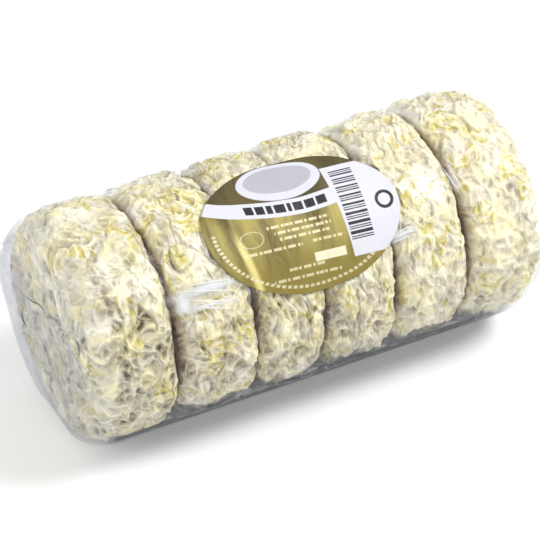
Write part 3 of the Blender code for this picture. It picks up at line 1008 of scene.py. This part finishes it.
class Print(Nodes):
    """Masks of simple shapes on the label, in mm from its middle."""

    def __init__(self, tree):
        super().__init__(tree)
        self.spot = self.add("ShaderNodeUVMap", uv_map="print").outputs["UV"]
        right, up, _ = self.split(self.spot)
        self.across = self.times(self.minus(right, 0.5), LABEL_LENGTH / MM)
        self.up = self.times(self.minus(up, 0.5), LABEL_LENGTH / MM)

    def past(self, value, limit):
        """1 where the value is over the limit."""
        return self.ramp(self.minus(value, limit), -PRINT_SOFTNESS, PRINT_SOFTNESS)

    def near(self, value, middle, reach):
        """1 where the value is within reach of the middle."""
        return self.rest(self.past(self.far(value, middle), reach))

    def span(self, value, low, high):
        return self.near(value, (low + high) / 2.0, (high - low) / 2.0)

    def box(self, left, right, low, high):
        return self.times(self.span(self.across, left, right), self.span(self.up, low, high))

    def oval(self, x, y, half_width, half_height):
        wide = self.math("DIVIDE", self.minus(self.across, x), half_width)
        tall = self.math("DIVIDE", self.minus(self.up, y), half_height)
        edge = PRINT_SOFTNESS / half_height
        return self.rest(self.ramp(self.hypot(wide, tall), 1.0 - edge, 1.0 + edge))

    def ring(self, x, y, half_width, half_height, line):
        hole = self.oval(x, y, half_width - line, half_height - line)
        return self.times(self.oval(x, y, half_width, half_height), self.rest(hole))

    def waves(self, value, rate, slow_rate, share):
        """A plain wave with a slower one added, for dashes of uneven length."""
        return self.plus(self.sine(value, rate), self.times(self.sine(value, slow_rate), share))


def label_ground(nodes, sheen, over_band):
    """The gold field with its painted sheen and a painted highlight band, and the olive field over it,
    also with painted sheen.
    """
    gold = nodes.mix(nodes.ramp(sheen, 0.34, 0.66), DARK_GOLD, LIGHT_GOLD)
    gold = nodes.mix(nodes.ramp(nodes.up, 2.0, -18.0), gold, LOWER_GOLD)
    # painted highlight: a bright leaning band on the gold
    lean = nodes.plus(nodes.plus(nodes.across, 19.4), nodes.times(nodes.up, 0.2))
    gleam_highlight = nodes.times(nodes.ramp(nodes.math("ABSOLUTE", lean), 1.7, 0.2),
                         nodes.ramp(nodes.up, 3.0, -7.0))
    gold = nodes.mix(nodes.times(gleam_highlight, 0.75), gold, GOLD_HIGHLIGHT)
    olive = nodes.mix(nodes.ramp(sheen, 0.3, 0.7), DARK_OLIVE, LIGHT_OLIVE)
    return nodes.mix(nodes.ramp(over_band, -0.1, 0.1), gold, olive)


def rim_dashes(nodes):
    """A row of small dashes along the label's lower rim."""
    wide = nodes.math("DIVIDE", nodes.across, LABEL_LENGTH / 2.0 / MM)
    tall = nodes.math("DIVIDE", nodes.up, LABEL_WIDTH / 2.0 / MM)
    out, turn = nodes.hypot(wide, tall), nodes.math("ARCTAN2", tall, wide)
    row = nodes.times(nodes.ramp(out, 0.88, 0.89), nodes.ramp(out, 0.93, 0.92))
    lower = nodes.most(nodes.ramp(turn, -0.45, -0.48), nodes.ramp(turn, 3.1, 3.12))
    dashes = nodes.ramp(nodes.sine(turn, 95.0), -0.6, -0.3)
    return nodes.times(nodes.times(row, lower), dashes)


def label_material():
    material, nodes, shader = new_material("label_paper", Print)
    across, up = nodes.across, nodes.up
    shifted = nodes.minus(across, BAND_CENTRE[0])
    middle = nodes.plus(BAND_CENTRE[1], nodes.times(nodes.times(shifted, shifted), BAND_BEND))
    over_band = nodes.minus(up, middle)
    sheen = nodes.noise(nodes.join(nodes.times(across, 0.16), nodes.times(up, 0.035)),
                        1.0, 2.0, 0.5, 0.3)
    colour = label_ground(nodes, sheen, over_band)
    band = nodes.near(over_band, 0.0, BAND_HALF)
    colour = nodes.mix(band, colour, LABEL_WHITE)
    crown = nodes.times(nodes.oval(*CROWN_OVAL), nodes.ramp(over_band, BAND_HALF, BAND_HALF + 0.1))
    colour = nodes.mix(crown, colour, LABEL_WHITE)
    colour = nodes.mix(nodes.oval(*CROWN_INNER_OVAL), colour, CROWN_GREY)
    for left, right in BAND_WORDS:
        word = nodes.times(nodes.span(across, left, right), nodes.near(over_band, 0.0, WORD_HALF))
        colour = nodes.mix(word, colour, WORD_BLACK)
    panel_edge = nodes.minus(PANEL_LEFT, nodes.times(up, PANEL_LEAN))
    panel = nodes.times(nodes.past(across, panel_edge), nodes.span(up, *PANEL_HEIGHTS))
    colour = nodes.mix(panel, colour, LABEL_WHITE)
    wave = nodes.math("SINE", nodes.plus(nodes.times(up, 7.1), nodes.times(nodes.sine(up, 2.3), 1.9)))
    bars = nodes.times(nodes.ramp(wave, -0.1, 0.1), nodes.box(*BARS))
    colour = nodes.mix(bars, colour, BAR_BLACK)
    colour = nodes.mix(nodes.ring(*PANEL_RING), colour, RING_BLACK)
    for left, right, height in SMALL_WORDS:
        dash = nodes.waves(nodes.plus(across, height * 3.0), 4.6, 1.7, 0.7)
        line = nodes.times(nodes.box(left, right, height - SMALL_HALF, height + SMALL_HALF),
                           nodes.ramp(dash, -0.75, -0.5))
        colour = nodes.mix(nodes.times(line, 0.7), colour, SMALL_WORD_CREAM)
    colour = nodes.mix(nodes.times(nodes.box(*CREAM_BLOCK), 0.85), colour, BLOCK_CREAM)
    colour = nodes.mix(nodes.times(nodes.ring(*STAMP_RING), 0.5), colour, FAINT_CREAM)
    small = nodes.times(rim_dashes(nodes), nodes.minus(0.6, panel, clamp=True))
    colour = nodes.mix(small, colour, FAINT_CREAM)
    printed = nodes.rest(nodes.most(panel, band), clamp=True)
    dents = nodes.noise(nodes.join(nodes.times(across, 0.3), nodes.times(up, 0.12)),
                        1.0, 3.0, 0.5, 1.2)
    paper = nodes.noise(nodes.spot, 160.0, 3.0, 0.5)
    nodes.fill(shader, {
        "Base Color": colour,
        "Metallic": nodes.times(printed, 0.12),
        "Roughness": nodes.ramp(sheen, -1.2, 2.2),
        "Specular IOR Level": 0.3,
        "Normal": nodes.bump(nodes.plus(nodes.times(paper, 0.03), dents), 0.4, 0.0009),
    })
    return material


# Tubes along paths

def tube_tree():
    """Geometry Nodes that turn a path into a round tube, thin at its ends by a share."""
    tree = bpy.data.node_groups.new("tube_on_path", "GeometryNodeTree")
    for name, kind in (("Geometry", "Geometry"), ("Radius", "Float"), ("Taper", "Float"),
                       ("Spacing", "Float"), ("Sides", "Int"), ("Material", "Material")):
        tree.interface.new_socket(name=name, in_out="INPUT", socket_type="NodeSocket" + kind)
    tree.interface.new_socket(name="Geometry", in_out="OUTPUT", socket_type="NodeSocketGeometry")
    nodes = Nodes(tree)
    given, made = nodes.add("NodeGroupInput").outputs, nodes.add("NodeGroupOutput")
    path = nodes.add("GeometryNodeMeshToCurve", {"Mesh": given["Geometry"]})
    even = nodes.add("GeometryNodeResampleCurve", {"Curve": path.outputs[0], "Length": given["Spacing"]},
                     mode="LENGTH")
    share = nodes.add("GeometryNodeSplineParameter").outputs["Factor"]
    thin = nodes.times(given["Taper"], nodes.rest(nodes.sine(share, math.pi)))
    width = nodes.times(given["Radius"], nodes.rest(thin))
    sized = nodes.add("GeometryNodeSetCurveRadius", {"Curve": even.outputs[0], "Radius": width})
    ring = nodes.add("GeometryNodeCurvePrimitiveCircle", {"Radius": 1.0, "Resolution": given["Sides"]})
    tube = nodes.add("GeometryNodeCurveToMesh", {
        "Curve": sized.outputs[0], "Profile Curve": ring.outputs[0], "Scale": width,
        "Fill Caps": True})
    soft = nodes.add("GeometryNodeSetShadeSmooth", {0: tube.outputs[0]})
    real = nodes.add("GeometryNodeRealizeInstances", {0: soft.outputs[0]})
    dressed = nodes.add("GeometryNodeSetMaterial", {"Geometry": real.outputs[0],
                                                    "Material": given["Material"]})
    nodes.put(made.inputs[0], dressed.outputs[0])
    return tree


def tubes(name, paths, tree, material, radius, taper, spacing, sides):
    """One piece of round tubes along open paths."""
    mesh = bpy.data.meshes.new(name)
    points, edges = [], []
    for path in paths:
        first = len(points)
        points += [tuple(map(float, point)) for point in path]
        edges += [(step, step + 1) for step in range(first, len(points) - 1)]
    mesh.from_pydata(points, edges, [])
    guide = bpy.data.objects.new(name + "_path", mesh)
    bpy.context.scene.collection.objects.link(guide)
    modifier = guide.modifiers.new("Tube", "NODES")
    modifier.node_group = tree
    wanted = {"Radius": radius, "Taper": taper, "Spacing": spacing, "Sides": sides,
              "Material": material}
    for item in tree.interface.items_tree:
        if item.in_out == "INPUT" and item.name in wanted:
            modifier[item.identifier] = wanted[item.name]
    graph = bpy.context.evaluated_depsgraph_get()
    result = bpy.data.meshes.new_from_object(guide.evaluated_get(graph))
    result.name = name
    piece = bpy.data.objects.new(name, result)
    bpy.context.scene.collection.objects.link(piece)
    bpy.data.objects.remove(guide, do_unlink=True)
    return piece


def make_hairs(tree, material):
    """Two stray hairs that cling to the -X end."""
    paths = [[(HAIR_X, y * MM, z * MM) for y, z in hair] for hair in HAIRS]
    return tubes("hairs", paths, tree, material, HAIR_RADIUS, 0.75, 0.0004, 8)


def crease_paths():
    """Each crease as rows of X and angle: the photo's own, then some more."""
    draw = np.random.RandomState(WRINKLE_SEED)
    paths = [np.array(crease) * (MM, math.pi / 180.0) for crease in CREASES]
    for _ in range(MORE_CREASES):
        x = draw.uniform(-MORE_CREASE_X, MORE_CREASE_X)
        turn = math.radians(draw.uniform(*MORE_CREASE_TURNS))
        length = draw.uniform(*MORE_CREASE_LENGTHS)
        lean = draw.uniform(-MORE_CREASE_LEAN, MORE_CREASE_LEAN)
        paths.append(np.array([(x, turn), (x + length / 2.0, turn + lean * 0.7),
                               (x + length, turn + lean)]))
    return paths


def make_creases(tree, core, angle, film, skin, glint):
    """Creases that stand a little out of the film, pale as painted highlights, and its folded ear at the
    -X end.
    """
    lines = []
    for path in crease_paths():
        step = np.linspace(0.0, len(path) - 1.0, CREASE_POINTS)
        x, turn = (np.interp(step, np.arange(len(path)), values) for values in path.T)
        radius = film_radius_at(x, turn, core, angle, film) + FILM_LIFT + CREASE_RADIUS * 0.5
        lines.append(rolled(x, radius, turn))
    creases = tubes("film_creases", lines, tree, glint, CREASE_RADIUS, 1.0, 0.0004, 6)
    ear = [tuple(value * MM for value in place) for place in FILM_EAR]
    return creases, tubes("film_ear", [ear], tree, skin, FILM_EAR_RADIUS, 0.8, 0.0006, 10)


# Stage

def area_light(name, place, size, power):
    light = bpy.data.lights.new(name, "AREA")
    light.shape = "RECTANGLE"
    light.size, light.size_y = size
    light.energy = power
    item = bpy.data.objects.new(name, light)
    item.location = place
    item.rotation_euler = (Vector(LIT_PLACE) - Vector(place)).to_track_quat("-Z", "Y").to_euler()
    bpy.context.scene.collection.objects.link(item)


def make_floor():
    mesh = bpy.data.meshes.new("floor")
    near, far = -FLOOR_REACH, FLOOR_REACH
    mesh.from_pydata([(near, near, 0.0), (far, near, 0.0), (far, far, 0.0), (near, far, 0.0)],
                     [], [(0, 1, 2, 3)])
    floor = bpy.data.objects.new("floor", mesh)
    floor.location = (0.0, 0.0, -FLOOR_GAP)
    bpy.context.scene.collection.objects.link(floor)
    material, nodes, shader = new_material("floor")
    nodes.fill(shader, {"Base Color": (0.85, 0.85, 0.85, 1.0), "Emission Color": (1.0, 1.0, 1.0, 1.0),
                        "Emission Strength": 0.18, "Roughness": 0.9})
    mesh.materials.append(material)


def make_stage():
    make_floor()
    world = bpy.data.worlds.new("studio")
    world.use_nodes = True
    back = world.node_tree.nodes["Background"]
    back.inputs["Color"].default_value = (1.0, 1.0, 1.0, 1.0)
    back.inputs["Strength"].default_value = WORLD_STRENGTH
    bpy.context.scene.world = world
    for light in LIGHTS:
        area_light(*light)
    bpy.context.scene.view_settings.view_transform = "Standard"


def make_camera():
    """The photograph's viewpoint, fitted to the outlines of the discs."""
    back = Vector((-math.sin(CAMERA_TURN) * math.cos(CAMERA_RISE),
                   -math.cos(CAMERA_TURN) * math.cos(CAMERA_RISE), math.sin(CAMERA_RISE)))
    aim_x, aim_y = CAMERA_AIM_PIXELS
    lens = bpy.data.cameras.new("camera")
    lens.sensor_width = 36.0
    lens.lens = lens.sensor_width * CAMERA_FOCAL_PIXELS / PHOTO_PIXELS
    lens.shift_x = -(aim_x - PHOTO_PIXELS / 2.0) / PHOTO_PIXELS
    lens.shift_y = (aim_y - PHOTO_PIXELS / 2.0) / PHOTO_PIXELS
    lens.clip_start, lens.clip_end = 0.01, 20.0
    item = bpy.data.objects.new("camera", lens)
    item.location = Vector((0.0, 0.0, AXIS_HEIGHT)) + back * CAMERA_DISTANCE
    item.rotation_euler = (-back).to_track_quat("-Z", "Y").to_euler()
    bpy.context.scene.collection.objects.link(item)
    bpy.context.scene.camera = item


def main():
    gloss = clear_gloss_group()
    rind, film_skin, plastic = rind_material(), film_material(gloss), tray_material(gloss)
    # the creases' pale colour is a painted highlight
    crease_glint = speckled_material("film_crease", 400.0, CREASE_HIGHLIGHT_WHITE, CREASE_HIGHLIGHT_GREY,
                                     Alpha=0.55, Roughness=0.2)
    hair = speckled_material("hair", 700.0, HAIR_BLACK, HAIR_GREY, Roughness=0.5)
    tree = tube_tree()
    cheeses = [make_cheese(index, rind) for index in range(len(CHEESE_THICKNESSES))]
    tray = make_tray(plastic)
    bpy.context.view_layer.update()
    film, core, angle, drawn = make_film(cheeses + [tray], film_skin)
    label = make_label(core, angle, drawn, label_material())
    hairs = make_hairs(tree, hair)
    creases, ear = make_creases(tree, core, angle, drawn, film_skin, crease_glint)
    for piece in (*cheeses, film, tray, label, hairs, creases, ear):
        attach(piece, "root")
    for piece in (*cheeses, film, creases, ear):
        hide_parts("wrapped_cheeses")
    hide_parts("tray")
    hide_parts("label")
    make_stage()
    make_camera()


main()
